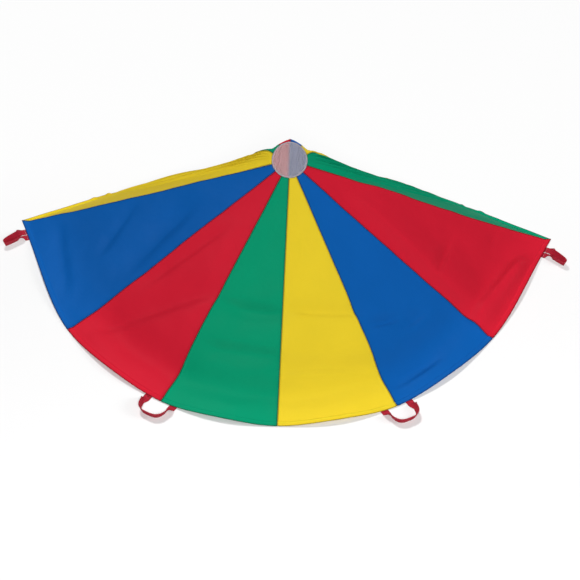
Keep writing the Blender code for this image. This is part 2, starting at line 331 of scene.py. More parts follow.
def nylon(name, colour):
    paint = Paint(name)
    across, down = paint.uv("cloth")
    from_seam, from_hem = paint.uv("edges")
    drift = paint.grain(paint.vector(across, down), DRIFT_GRAIN)
    rows = stitches(from_seam, down, SEAM_STITCHES) | stitches(from_hem, across, HEM_STITCHES)
    doubled = (from_seam < SEAM_HALF_WIDTH) | (from_hem < HEM_WIDTH)
    # painted highlight along the hem's crest
    crest = paint.fade(abs(from_hem - HEM_CREST), *CREST_HIGHLIGHT_FADE)

    tone = paint.mix(drift, shade(colour, FADED), shade(colour, FRESH))
    # painted light: the band by the hem is painted lighter
    tone = paint.mix(paint.fade(from_hem, *HEM_LIGHT_BAND), tone, shade(colour, HEM_PAINTED_LIGHT))
    # painted shade in the join and along the hem's edge, and a painted highlight on the hem's crest
    for mark, (strength, light) in (
            (doubled, DOUBLED_MARK), (rows, STITCH_MARK),
            (paint.fade(from_seam, *JOIN_SHADE_FADE), JOIN_SHADE_MARK), (crest, CREST_HIGHLIGHT_MARK),
            (paint.fade(from_hem, *HEM_EDGE_SHADE_FADE), HEM_EDGE_SHADE_MARK)):
        tone = paint.mix(mark * strength, tone, shade(colour, light))

    height = nylon_relief(paint, across, down, from_seam, from_hem, rows)
    paint.coat(Base_Color=tone, Roughness=NYLON_ROUGHNESS + drift * ROUGHNESS_DRIFT,
               Normal=paint.bump(height, RELIEF_UNIT, RELIEF_STRENGTH),
               Specular_IOR_Level=NYLON_GLOSS)
    paint.blend(LIGHT_THROUGH_CLOTH,
                paint.node("ShaderNodeBsdfTranslucent", None, {"Color": colour}))
    return paint.material


nylons = {name: nylon(f"nylon_{name}", colour) for name, colour in NYLON.items()}
print("nylon in", ", ".join(nylons))

# %% [markdown]
# ## The outline of the canopy
#
# The canopy could be left to a cloth simulation, but nobody would know where its hem ends up. The
# photograph fixes that, so the surface is worked out with a formula instead. A point of it is
# named by `u`, counted in gores round the hem from the left corner, and `t`, which runs from 0 at
# the vent to 1 at the hem. Numpy works out a whole grid of points at once.
#
# Two tables say where each seam meets the hem: its direction from the middle, and its distance as
# a share of the flat cloth's radius. The front half comes first, from the left corner to the right
# one, and the back half goes on from there.

# %% Where the hem lies
MIDDLE = np.array((0.0026678741, 0.2226188481, 0.0))
FLAT_RADIUS = 0.914
FRONT_GORES, GORES = 6, 12
FRONT_HEM_DEGREES = [178.7, 215.5, 244.9, 269.6, 295.3, 326.1, 362.1]
FRONT_HEM_SHARES = [0.938, 0.898, 0.932, 0.937, 0.910, 0.863, 0.937]
BACK_HEM_DEGREES = [362.1, 386.0, 416.0, 450.0, 484.0, 514.0, 538.7]
BACK_HEM_SHARES = [0.937, 0.565, 0.345, 0.450, 0.345, 0.560, 0.938]


def hem_corners(degrees, shares):
    turns = np.radians(degrees)
    reach = FLAT_RADIUS * np.array(shares)
    return np.stack([np.cos(turns) * reach, np.sin(turns) * reach, 0 * reach], -1)


FRONT_HEM = hem_corners(FRONT_HEM_DEGREES, FRONT_HEM_SHARES)
BACK_HEM = hem_corners(BACK_HEM_DEGREES, BACK_HEM_SHARES)
print("hem, metres wide:", round(float(np.ptp(FRONT_HEM[:, 0])), 3))

# %% [markdown]
# ## Smooth curves through a table
#
# Straight lines between the seams would give the hem corners. A cubic through each pair of values,
# whose slopes come from the neighbours on either side, gives the soft curve that cloth takes.
# `ease` is the other tool used all over: it goes from 0 to 1 without a kink at either end, so a
# fold can begin anywhere and leave no line.

# %% Tables and easing
def read_table(values, x):
    """A smooth curve through a table's values, read at every x at once."""
    values = np.asarray(values, float)
    last = len(values) - 1
    i = np.clip(x.astype(int), 0, last - 1)
    a, b = values[i], values[i + 1]
    t = x - i
    first, final = i == 0, i == last - 1
    if values.ndim == 2:
        t, first, final = t[..., None], first[..., None], final[..., None]
    before = np.where(first, 2 * a - b, values[np.maximum(i - 1, 0)])
    after = np.where(final, 2 * b - a, values[np.minimum(i + 2, last)])
    cubic = (2 * t - 3) * t * t
    slopes = (b - before) / 2 * t * (1 - t) ** 2 - (after - a) / 2 * t * t * (1 - t)
    return a * (1 + cubic) - b * cubic + slopes


def ease(x):
    """From 0 to 1 as x does, level at both ends."""
    x = np.clip(x, 0, 1)
    return x * x * (3 - 2 * x)


def by_half(u, front, back):
    """Read one table for the front half and another for the back half."""
    u = np.mod(u, GORES)
    ahead = read_table(front, np.clip(u, 0, FRONT_GORES))
    behind = read_table(back, np.clip(u - FRONT_GORES, 0, FRONT_GORES))
    at_back = u > FRONT_GORES
    return np.where(at_back[..., None] if ahead.ndim > u.ndim else at_back, behind, ahead)


def gores_behind(u):
    """How many gores a point lies behind the nearer corner, and 0 for all of the front."""
    x = np.mod(u, GORES) - FRONT_GORES
    return np.where(x > 0, np.minimum(x, FRONT_GORES - x), 0)


print("gores behind the corner, at 5, 7 and 11:", gores_behind(np.array((5.0, 7.0, 11.0))))

# %% [markdown]
# ## The vent's edge
#
# The vent is a disc that leans to the front. The front gores share a bit less than half of its
# edge, and the back ones the rest. Behind, the cloth hangs from the vent like a curtain, and its
# middle seam pulls the edge into a low peak, so a sliver of the back gores shows over the mesh.

# %% The edge of the vent
VENT_RADIUS = 0.057
VENT_HEIGHT = 0.320
VENT_TILT = math.radians(38)
VENT_PEAK = 0.004
ROOF_GORES = 1.57
BACK_MIDDLE = 9
FRONT_VENT_DEGREES = (195, 345)
BACK_VENT_DEGREES = (345, 555)


def peak(u):
    """1 at the middle seam behind, falling to 0 beside it."""
    return np.clip(1 - np.abs(np.mod(u, GORES) - BACK_MIDDLE) / ROOF_GORES, 0, 1)


def share_out(degrees, gores):
    """The direction after some gores, where six of them share a stretch of the edge."""
    return degrees[0] + (degrees[1] - degrees[0]) * gores / FRONT_GORES


def on_vent(u, radius):
    """A point on the leaning plane of the vent."""
    u = np.mod(u, GORES)
    turn = np.radians(np.where(u > FRONT_GORES, share_out(BACK_VENT_DEGREES, u - FRONT_GORES),
                               share_out(FRONT_VENT_DEGREES, u)))
    y = radius * np.sin(turn)
    return np.stack([radius * np.cos(turn), y * math.cos(VENT_TILT),
                     VENT_HEIGHT + y * math.sin(VENT_TILT)], -1)


def vent_edge(u):
    return on_vent(u, VENT_RADIUS + VENT_PEAK * peak(u))


front_length = np.linalg.norm(FRONT_HEM - vent_edge(np.arange(FRONT_GORES + 1.0)), axis=-1)
print("front seams, metres long:", [round(float(x), 3) for x in front_length])

# %% [markdown]
# ## The canopy without its small folds
#
# Every seam runs straight from the vent to the hem in plan, and comes down to the floor a little
# before the hem. How steeply it falls is another table: almost straight in front, and hollow
# behind. Then the big forms are laid on it: each front gore sags between its seams, each back gore
# is drawn in at its middle, a shoulder of cloth stands up behind the vent, a soft roll lies along
# the floor behind, and a narrow crest follows the vent's peak. A bump that rises fast and fades
# slowly is `x * exp(1 - x)`, which is 1 at x = 1.

# %% The plain canopy
HEM_LIFT = 0.0018
HEM_RUN = 0.0204
FRONT_STEEP = [1.04] * 7
BACK_STEEP = [1.04, 0.92, 2.0, 2.4, 2.0, 0.92, 1.04]
FOLD_DEPTH = 0.185
FOLDS_BEGIN_GORES, FOLDS_GROW_GORES = 0.6, 0.7
FOLD_OPENING_POWER = 1.3
PANEL_SAG = 0.007
ROLL_HEIGHT = 0.022
SHOULDER_RISE, SHOULDER_REACH = 0.028, 0.065
SHOULDER_BEGINS_GORES, SHOULDER_GROWS_GORES = 0.35, 0.75
CREST_RISE, CREST_REACH = 0.008, 0.008


def plain_canopy(u, t):
    """The canopy's surface without its small folds, and the slant length at each point."""
    top, foot = vent_edge(u), by_half(u, FRONT_HEM, BACK_HEM)
    slant = np.linalg.norm(top - foot, axis=-1)
    behind = gores_behind(u)
    slack = ease((behind - FOLDS_BEGIN_GORES) / FOLDS_GROW_GORES)
    middle = np.sin(math.pi * u) ** 2

    outwards = foot / np.linalg.norm(foot, axis=-1)[..., None]
    drawn_in = FOLD_DEPTH * slack * middle ** 2 * t ** FOLD_OPENING_POWER
    plan = top + (foot - top) * t[..., None] - outwards * drawn_in[..., None]

    on_floor = 1 - HEM_RUN / slant
    down = np.minimum(t / on_floor, 1)
    fall = np.maximum(1 - t / on_floor, 0)
    height = HEM_LIFT + (top[..., 2] - HEM_LIFT) * fall ** by_half(u, FRONT_STEEP, BACK_STEEP)
    height -= PANEL_SAG * (1 - slack) * middle * np.sin(math.pi * down) ** 2
    height += ROLL_HEIGHT * slack * np.where(t > on_floor / 2, np.sin(math.tau * down) ** 2, 0)
    near = t * slant / SHOULDER_REACH
    shoulder = ease((behind - SHOULDER_BEGINS_GORES) / SHOULDER_GROWS_GORES)
    height += SHOULDER_RISE * shoulder * near * np.exp(1 - near) * fall
    plan[..., 2] = height

    rim = t * slant / CREST_REACH
    crest = CREST_RISE * peak(u) * rim * np.exp(1 - rim)
    plan = plan + (on_vent(u, 1.0) - on_vent(u, 0.0)) * crest[..., None]
    return plan + MIDDLE, slant


ridge = plain_canopy(np.array([0.0]), np.array([0.5]))[0][0]
print("half way down the left ridge:", ridge.round(3))

# %% [markdown]
# ## Bends in front
#
# Flat cloth can't lie on a cone that is steeper than its cut, so the slack has to go somewhere. In
# front it shows as a few soft bends. Each one below is a line on the floor plan, with a height and
# with a width on either side of it: a narrow side makes it read as a crease, and a wide one as a
# soft swell. Most are dents. The few with a height above zero stand up: they are the bright strips
# of the two outer red gores, and the roll by the right one's hem.

# %% Bends
# start x, y; end x, y; height; width on the left of the line; width on its right
BENDS = [
    (-0.492, 0.184, -0.576, 0.040, -0.008, 0.012, 0.026),
    (-0.311, 0.128, -0.485, -0.054, -0.012, 0.026, 0.050),
    (-0.727, 0.178, -0.683, -0.079, -0.008, 0.016, 0.030),
    (-0.199, 0.011, -0.415, -0.119, -0.008, 0.014, 0.030),
    (-0.207, -0.192, -0.568, -0.251, -0.015, 0.026, 0.060),
    (-0.174, 0.036, -0.309, -0.312, 0.010, 0.045, 0.100),
    (-0.180, -0.228, -0.005, -0.266, -0.016, 0.016, 0.034),
    (-0.225, -0.366, 0.000, -0.405, -0.016, 0.018, 0.040),
    (0.275, -0.394, 0.000, -0.440, -0.013, 0.018, 0.030),
    (0.010, -0.250, 0.230, -0.235, -0.012, 0.030, 0.016),
    (0.360, -0.216, 0.280, -0.264, -0.014, 0.012, 0.020),
    (0.438, -0.178, 0.374, -0.247, -0.012, 0.012, 0.022),
    (0.470, -0.340, 0.360, -0.440, -0.016, 0.014, 0.026),
    (0.240, 0.155, 0.590, -0.115, 0.027, 0.100, 0.036),
    (0.765, 0.120, 0.610, -0.165, 0.030, 0.034, 0.026),
    (0.523, 0.116, 0.484, -0.034, -0.011, 0.010, 0.022),
    (0.673, 0.211, 0.658, 0.151, -0.006, 0.010, 0.018),
]
BEND_ENDS = 0.06


def bends(points):
    """How far the bends lift each point."""
    x, y = points[..., 0], points[..., 1]
    lift = np.zeros_like(x)
    for ax, ay, bx, by, high, left, right in BENDS:
        length = math.hypot(bx - ax, by - ay)
        along = ((x - ax) * (bx - ax) + (y - ay) * (by - ay)) / length
        aside = ((x - ax) * -(by - ay) + (y - ay) * (bx - ax)) / length
        width = np.where(aside > 0, left, right)
        begins = ease((along + BEND_ENDS) / (2 * BEND_ENDS))
        ends = ease((length + BEND_ENDS - along) / (2 * BEND_ENDS))
        lift += high * (begins * ends) * np.exp(-(aside / width) ** 2)
    return lift


print("bends:", len(BENDS))

# %% [markdown]
# ## Swells
#
# No cloth is even. Smooth noise that is read at each point's place in space gives the same gentle
# bumps every time, so nothing has to be stored, and two gores agree along the seam that they
# share. The folds use it too, to wander and to vary in depth.

# %% Swells
SWELL_FLATTENED = 0.5
# height, size and seed of the small bumps all over the front
SMALL_SWELLS = [(0.0035, 0.13, 1.0), (0.0016, 0.05, 5.0)]


def swells(points, size, seed):
    """Smooth random bumps, from about -0.5 to 0.5, of a given size in metres."""
    flat = points.reshape(-1, 3) / size
    values = [noise.noise(Vector((x + seed, y, z * SWELL_FLATTENED))) for x, y, z in flat]
    return np.array(values).reshape(points.shape[:-1])


print("a swell at the middle:", round(float(swells(MIDDLE[None], 0.13, 1.0)[0]), 3))

# %% [markdown]
# ## Pleats behind
#
# Behind, about twice as much cloth hangs in the same space, and it gathers in pleats that run down
# from the vent and deepen towards the hem. A sine round the hem makes them, and noise bends them
# and makes some deeper. Beside the ridge they only go inwards, so that the ridge keeps its
# straight line. Crumples cross them where the cloth is most gathered, and fade out at the middle
# seam and at the hem.
#
# The two loops behind fold up against the cloth, so it stays plain under them.

# %% Pleats
PLEATS_A_GORE = 7
PLEAT_DEPTH = 0.021
PLEATS_BEGIN_GORES, PLEATS_GROW_GORES = 0.36, 0.6
PLEATS_GROW_DOWN = 0.30
DEPTH_AT_VENT, DEPTH_TO_HEM = 0.76, 0.12
DEEPER_MIDDLE, MIDDLE_BEGINS_GORES, MIDDLE_GROWS_GORES = 0.25, 1.6, 0.8
WANDER, WANDER_SIZE, WANDER_SEED = 0.9, 0.22, 3.0
SWAY, SWAY_ROUND, SWAY_DOWN = 0.5, 2.3, 3
DEPTH_LEAST, DEPTH_VARIES, DEPTH_SIZE, DEPTH_SEED = 0.85, 0.4, 0.11, 9.0
INWARDS_FROM, INWARDS_TO = (0.45, 0.5), (1.1, 0.7)
CRUMPLE_DEPTH = 0.008
CRUMPLES_DOWN, CRUMPLE_WANDER, CRUMPLE_SIZE, CRUMPLE_SEED = 5.5, 1.1, 0.12, 7.0
CRUMPLES_FROM, CRUMPLES_TO, CRUMPLES_FADE, EVEN_HEM = (0.9, 0.8), 2.5, 0.6, 0.12
BACK_LOOPS = (8, 10)
PLAIN_BESIDE_LOOP, PLAIN_ABOVE_HEM = (0.28, 0.2), (0.055, 0.05)


def grows(x, reach):
    """0 up to the first value of a reach, and 1 once the second has been added to it."""
    return ease((x - reach[0]) / reach[1])


def pleats(u, t, points):
    """How far the pleats of the back half push each point outwards."""
    behind = gores_behind(u)
    weight = (grows(behind, (PLEATS_BEGIN_GORES, PLEATS_GROW_GORES)) * ease(t / PLEATS_GROW_DOWN)
              * (DEPTH_AT_VENT + DEPTH_TO_HEM * t))
    weight = weight * (1 + DEEPER_MIDDLE * grows(behind, (MIDDLE_BEGINS_GORES, MIDDLE_GROWS_GORES)))
    wander = (WANDER * swells(points, WANDER_SIZE, WANDER_SEED)
              + SWAY * np.sin(SWAY_ROUND * u + SWAY_DOWN * t))
    deep = DEPTH_LEAST + DEPTH_VARIES * swells(points, DEPTH_SIZE, DEPTH_SEED)
    by_ridge = grows(behind, INWARDS_FROM) * (1 - grows(behind, INWARDS_TO))
    down = PLEAT_DEPTH * deep * (np.sin(math.tau * (PLEATS_A_GORE * u + wander)) - by_ridge)
    crumple = CRUMPLE_WANDER * swells(points, CRUMPLE_SIZE, CRUMPLE_SEED)
    across = CRUMPLE_DEPTH * np.sin(math.tau * (CRUMPLES_DOWN * t + crumple))
    return weight * (down + across * ease((1 - t) / EVEN_HEM) * grows(behind, CRUMPLES_FROM)
                     * ease((CRUMPLES_TO - behind) / CRUMPLES_FADE))


def by_back_loops(u, from_hem):
    """1 on the cloth that the two loops behind fold up against, which has no pleats."""
    aside = np.min([np.abs(np.mod(u, GORES) - loop) for loop in BACK_LOOPS], axis=0)
    return (1 - grows(aside, PLAIN_BESIDE_LOOP)) * (1 - grows(from_hem, PLAIN_ABOVE_HEM))


print("pleats behind:", PLEATS_A_GORE * FRONT_GORES)

# %% [markdown]
# ## The whole surface
#
# The pleats push along the cloth's own normal, which comes from two short steps on the plain
# surface. In front the bends and swells lift the cloth straight up, fading out at the vent and at
# the hem. A shallow trough runs along the front where the cloth comes down to the floor, a hand's
# width inside the hem. The hem itself waves up a little in the middle of each gore, which gives it
# the soft shadow that the photograph shows. Nothing goes below the height of the hem.

# %% The canopy with its folds
NORMAL_STEP = 0.004
FRONT_FADES_GORES = 0.3
FREE_OF_VENT, FREE_OF_HEM = 0.15, 0.05
FOOT_DEPTH = 0.021
FOOT_FROM_HEM = 0.125
FOOT_WIDTH = 0.055
FOOT_FROM, FOOT_TO, FOOT_FADES = (0.9, 0.5), 5.2, 0.6
NEAR_FLOOR = 0.03
HEM_WAVE = 0.011
HEM_WAVE_REACH = 0.10


def square_to(u, t):
    """The direction square to the plain canopy at each point."""
    side = plain_canopy(u + NORMAL_STEP, t)[0] - plain_canopy(u - NORMAL_STEP, t)[0]
    lower, upper = np.minimum(t + NORMAL_STEP, 1), np.maximum(t - NORMAL_STEP, 0)
    down = plain_canopy(u, lower)[0] - plain_canopy(u, upper)[0]
    normal = np.cross(down, side)
    return normal / np.linalg.norm(normal, axis=-1)[..., None]


def canopy(u, t):
    """The canopy's surface with its folds."""
    points, slant = plain_canopy(u, t)
    front = 1 - ease(gores_behind(u) / FRONT_FADES_GORES)
    from_hem = (1 - t) * slant

    small = sum(high * swells(points, size, seed) for high, size, seed in SMALL_SWELLS)
    foot = FOOT_DEPTH * np.exp(-((from_hem - FOOT_FROM_HEM) / FOOT_WIDTH) ** 2)
    foot = foot * grows(u, FOOT_FROM) * ease((FOOT_TO - u) / FOOT_FADES)
    free = ease(t / FREE_OF_VENT) * ease((1 - t) * slant / FREE_OF_HEM)
    lift = front * free * (bends(points) + small - foot)
    middle = np.sin(math.pi * u) ** 2
    wave = HEM_WAVE * front * middle * np.exp(-(from_hem / HEM_WAVE_REACH) ** 2)

    push = pleats(u, t, points) * (1 - by_back_loops(u, from_hem))
    near_floor = ease(1 - (points[..., 2] - HEM_LIFT) / NEAR_FLOOR)
    push = np.where(push < 0, push * (1 - near_floor), push)
    points = points + square_to(u, t) * push[..., None]
    points[..., 2] += lift + wave
    points[..., 2] = np.maximum(points[..., 2], HEM_LIFT)
    return points


crease = canopy(np.array([3.5]), np.array([0.6]))[0]
print("a point on the yellow gore:", crease.round(3))

# %% [markdown]
# ## Gores
#
# Each gore is its own piece, as it is when it is cut and sewn. Neighbours read the same surface at
# the seam, so they meet exactly. Rows of points lie close together beside the seams and the hem,
# where the turned cloth has its edge, and the rest are spread evenly. The helpers first: where the
# rows go, how a grid of points becomes a mesh with its UV maps, and which way the cloth faces.

# %% Helpers for the gores
SAME_ROW = 0.0008


def stations(length, steps, edges):
    """Shares of a length: even steps, with extra ones at some distances from its far end."""
    extra = [1 - edge / length for edge in edges]
    even = [k / steps for k in range(steps + 1)]
    kept = [e for e in even if all(abs(e - x) * length > SAME_ROW for x in extra)]
    return sorted(set([0.0, 1.0] + kept + extra))


def surface_mesh(name, points, uvs):
    """A grid of points as a smooth mesh, with its UV maps."""
    rows, columns = points.shape[:2]
    mesh = bpy.data.meshes.new(name)
    index = np.arange(rows * columns).reshape(rows, columns)
    faces = np.stack([index[:-1, :-1], index[1:, :-1], index[1:, 1:], index[:-1, 1:]], -1)
    faces = faces.reshape(-1, 4)
    mesh.from_pydata(points.reshape(-1, 3).tolist(), [], faces.tolist())
    for uv_name, values in uvs.items():
        corners = values.reshape(-1, 2)[faces.ravel()].astype(np.float32)
        mesh.uv_layers.new(name=uv_name).data.foreach_set("uv", corners.ravel())
    mesh.shade_smooth()
    return mesh


def outward(points):
    """The direction square to the cloth at each point of a grid."""
    down, across = np.gradient(points, axis=0), np.gradient(points, axis=1)
    normal = np.cross(down, across)
    return normal / np.linalg.norm(normal, axis=-1)[..., None]


def lengths_along(points, axis):
    """How far each point of a grid is from its start, measured on the cloth."""
    gaps = np.linalg.norm(np.diff(points, axis=axis), axis=-1)
    start = np.zeros_like(gaps[:, :1] if axis else gaps[:1])
    return np.concatenate([start, np.cumsum(gaps, axis)], axis)


print("rows of a gore near the hem:", [round(x, 4) for x in stations(0.85, 110, [0.018])[-4:]])

# %% [markdown]
# A seam is two turned edges sewn flat, and the hem is a wide turned band, so the cloth is raised a
# little there. Behind, the gores are pleated and need more columns than in front. A Solidify
# modifier gives the sheet its thickness, which grows inwards, so that the outside stays on the
# surface that was worked out.

# %% Gores
CLOTH_THICKNESS = 0.0004
SEAM_RISE, HEM_RISE = 0.0006, 0.0009
SEAM_STEPS = [0.0, 0.0045, 0.0056]
HEM_STEPS = [0.0006, HEM_WIDTH, HEM_WIDTH + 0.0012]
ROWS_DOWN, ROW_LENGTH = 110, 0.85
FRONT_COLUMNS, BACK_COLUMNS = 40, 78
ROUNDING = 0.0001
COLOURS_IN_ORDER = ["blue", "red", "green", "yellow"]


def gore_grid(index):
    """The points of one gore, in rows down from the vent, and each row's place as `t`."""
    t_rows = np.array(stations(ROW_LENGTH, ROWS_DOWN, HEM_STEPS))
    left, right = (plain_canopy(np.full_like(t_rows, float(k)), t_rows)[0]
                   for k in (index, index + 1))
    seam = np.array(SEAM_STEPS)[None, :] / np.linalg.norm(left - right, axis=-1)[:, None]
    columns = np.linspace(0, 1, BACK_COLUMNS if index >= FRONT_GORES else FRONT_COLUMNS)
    panel = seam[:, -1:] + (1 - 2 * seam[:, -1:]) * columns[None, 1:-1]
    shares = np.concatenate([seam, panel, 1 - seam[:, ::-1]], 1)
    t = np.repeat(t_rows[:, None], shares.shape[1], 1)
    return canopy(index + shares, t), t


def add_gore(index, name, colour):
    points, t = gore_grid(index)
    raised = np.zeros_like(t)
    raised[:, :2] = raised[:, -2:] = SEAM_RISE
    raised += np.where((1 - t) * ROW_LENGTH < HEM_WIDTH + ROUNDING, HEM_RISE, 0)
    points = points + outward(points) * raised[..., None]

    from_left, from_vent = lengths_along(points, 1), lengths_along(points, 0)
    from_seam = np.minimum(from_left, from_left[:, -1:] - from_left)
    cloth = np.stack([from_left - from_left[:, -1:] / 2, from_vent], -1)
    edges = np.stack([from_seam, from_vent[-1:] - from_vent], -1)
    mesh = surface_mesh(name, points, {"cloth": cloth, "edges": edges})
    mesh.materials.append(nylons[colour])

    gore = bpy.data.objects.new(f"{name}_cloth", mesh)
    bpy.context.scene.collection.objects.link(gore)
    solidify = gore.modifiers.new("thickness", "SOLIDIFY")
    solidify.thickness = CLOTH_THICKNESS
    solidify.offset = -1
    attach(gore, "canopy")
    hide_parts(name)
    return gore


for index in range(GORES):
    colour = COLOURS_IN_ORDER[index % len(COLOURS_IN_ORDER)]
    add_gore(index, f"gore_{index + 1:02d}_{colour}", colour)

# %% [markdown]
# Each gore is cut as a wedge as long as the radius less the vent, and as wide at the hem as a
# twelfth of the way round. The draped cloth should have about the area of its cut.

# %% [markdown]
# ## Vent
#
# The vent lets the air out when the parachute is let down. It is knitted mesh, pale grey, and one
# can see through it. A texture of holes would be quicker, but real threads catch the light from
# every side and stay sharp up close, so they are woven here: two sets of thin tubes that pass over
# and under each other. The helpers skin a row of outlines, say where the vent ends in each
# direction, and finish a piece that was built point by point.

# %% Helpers for the vent
NET_RADIUS = 0.0535
VENT_PLACE = Matrix.Translation(Vector(MIDDLE) + Vector((0, 0, VENT_HEIGHT))) \
    @ Matrix.Rotation(VENT_TILT, 4, "X")
STRAIGHT_BACK = 90
BACK_GORE_DEGREES = 35


def sweep(bm, sections, closed=False):
    """Join outlines that follow each other into one skin."""
    rings = [[bm.verts.new(point) for point in section] for section in sections]
    pairs = list(zip(rings, rings[1:] + rings[:1] if closed else rings[1:]))
    for here, there in pairs:
        for k in range(len(here)):
            n = (k + 1) % len(here)
            bm.faces.new((here[k], here[n], there[n], there[k]))
    if not closed:
        bm.faces.new(list(reversed(rings[0])))
        bm.faces.new(rings[-1])


def vent_roof(x, y):
    """How much further out the vent's edge lies in this direction, from 0 to 1."""
    turned = abs(math.degrees(math.atan2(y, x)) - STRAIGHT_BACK)
    return max(1 - turned / (BACK_GORE_DEGREES * ROOF_GORES), 0)


def in_vent(x, y):
    return math.hypot(x, y) < NET_RADIUS + VENT_PEAK * vent_roof(x, y)


def add_object(name, bm, material, body, replaced, place):
    """A finished piece from a bmesh."""
    bmesh.ops.recalc_face_normals(bm, faces=bm.faces)
    mesh = bpy.data.meshes.new(name)
    bm.to_mesh(mesh)
    bm.free()
    mesh.shade_smooth()
    mesh.materials.append(material)
    piece = bpy.data.objects.new(name, mesh)
    bpy.context.scene.collection.objects.link(piece)
    piece.matrix_world = place
    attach(piece, body)
    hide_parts(*replaced)
    return piece


print("the vent's edge stands out behind by:", VENT_PEAK * vent_roof(0, 1))

# %% [markdown]
# Each thread is a thin square tube that rises and dips from one crossing to the next, and its
# neighbour does the opposite. The threads are mostly tinted red on the left half of the vent and
# blue on its right: painted light, for the glow of the red and blue cloth behind them.

# %% Vent net
THREAD_PITCH = 0.0015
THREAD_RADIUS = 0.00030
THREAD_WAVE = 0.9
# painted light: the tints stand in for the glow of the red and blue gores behind the vent
THREAD_PAINTED_BLUE, THREAD_PAINTED_RED = (0.36, 0.38, 0.50, 1), (0.68, 0.38, 0.39, 1)
THREAD_GREY = (0.72, 0.68, 0.72, 1)
PAINTED_RED_TO_BLUE = (-0.009, 0.002)


def net_thread():
    paint = Paint("vent_thread")
    place = paint.place()
    grain = paint.grain(place, 900.0)
    side = paint.node("ShaderNodeSeparateXYZ", None, {0: place})
    # painted light: red on the left half and blue on the right, from the gores behind
    tone = paint.mix(paint.fade(side, *PAINTED_RED_TO_BLUE), THREAD_PAINTED_BLUE, THREAD_PAINTED_RED)
    tone = paint.mix(grain * 0.4, tone, THREAD_GREY)
    return paint.coat(Base_Color=tone, Roughness=0.6, Specular_IOR_Level=0.2)


def add_thread(bm, offset, turned, first):
    """One thread of the net, which waves over and under the ones that it crosses."""
    reach = int(2 * (NET_RADIUS + VENT_PEAK) / THREAD_PITCH)
    sections = []
    for k in range(-reach, reach + 1):
        along = k * THREAD_PITCH / 2
        if not (in_vent(offset, along) if turned else in_vent(along, offset)):
            continue
        wave = THREAD_RADIUS * THREAD_WAVE * math.cos(math.pi * along / THREAD_PITCH) * first
        ring = []
        for aside, up in ((1, 0), (0, 1), (-1, 0), (0, -1)):
            x, y, z = along, offset + aside * THREAD_RADIUS, wave + up * THREAD_RADIUS
            ring.append((y, x, z) if turned else (x, y, z))
        sections.append(ring)
    if len(sections) > 1:
        sweep(bm, sections)


bm = bmesh.new()
reach = int((NET_RADIUS + VENT_PEAK) / THREAD_PITCH)
for k in range(-reach, reach + 1):
    for turned in (False, True):
        add_thread(bm, k * THREAD_PITCH, turned, (1 if k % 2 else -1) * (-1 if turned else 1))
add_object("vent_mesh", bm, net_thread(), "canopy", ["vent_net"], VENT_PLACE)
print("threads in the vent:", 2 * (2 * reach + 1))

# %% [markdown]
# The binding is a soft grey tape folded round the mesh's edge. Its outline is swept round the vent,
# with a slow ripple from the sewing.

# %% Vent binding
BINDING_WIDTH = 0.0040
BINDING_THICKNESS = 0.0014
BINDING_INSIDE = 0.0008
BINDING_STEPS, BINDING_CORNERS = 180, 10
# height, waves round the vent and start of each ripple
RIPPLES = [(0.0002, 23, 0), (0.0001, 41, 1)]
TAPE_DARK, TAPE_LIGHT = (0.25, 0.23, 0.26, 1), (0.36, 0.33, 0.37, 1)


def binding_tape():
    paint = Paint("vent_tape")
    grain = paint.grain(paint.place(), 1400.0, 1.0)
    return paint.coat(Base_Color=paint.mix(grain, TAPE_DARK, TAPE_LIGHT), Roughness=0.7,
                      Normal=paint.bump(grain, 0.0003, 0.6), Specular_IOR_Level=0.25)


def binding_section(turn):
    """The rounded outline of the tape where it has gone some way round the vent."""
    ripple = sum(high * math.sin(waves * turn + start) for high, waves, start in RIPPLES)
    along, back = math.cos(turn), math.sin(turn)
    edge = VENT_RADIUS - BINDING_INSIDE + VENT_PEAK * vent_roof(along, back)
    ring = []
    for corner in range(BINDING_CORNERS):
        a = math.tau * corner / BINDING_CORNERS
        r = edge - BINDING_WIDTH / 2 + BINDING_WIDTH / 2 * math.cos(a)
        ring.append((r * along, r * back, ripple + BINDING_THICKNESS / 2 * math.sin(a)))
    return ring


bm = bmesh.new()
rings = [binding_section(math.tau * k / BINDING_STEPS) for k in range(BINDING_STEPS)]
sweep(bm, rings, closed=True)
add_object("vent_binding", bm, binding_tape(), "canopy", ["vent_rim"], VENT_PLACE)
print("binding sections:", len(rings))

# %% [markdown]
# ## Webbing
#
# The loops are cut from red webbing, which is woven thick and flat with a fine herringbone. The
# loop's UV map holds metres, across it and along it, and the herringbone is a stripe whose slant
# turns back every few threads. The two edges, the selvedges, are a little darker.

# %% Webbing
WEBBING_COLOUR = (0.400, 0.0140, 0.0320, 1)
WEBBING_WIDTH = 0.025
WEBBING_THICKNESS = 0.0015
HERRINGBONE, HERRINGBONE_SLANT, RIB_PITCH = 0.0031, 1.2, 0.0016
SELVEDGE = (WEBBING_WIDTH * 0.5, WEBBING_WIDTH * 0.44)


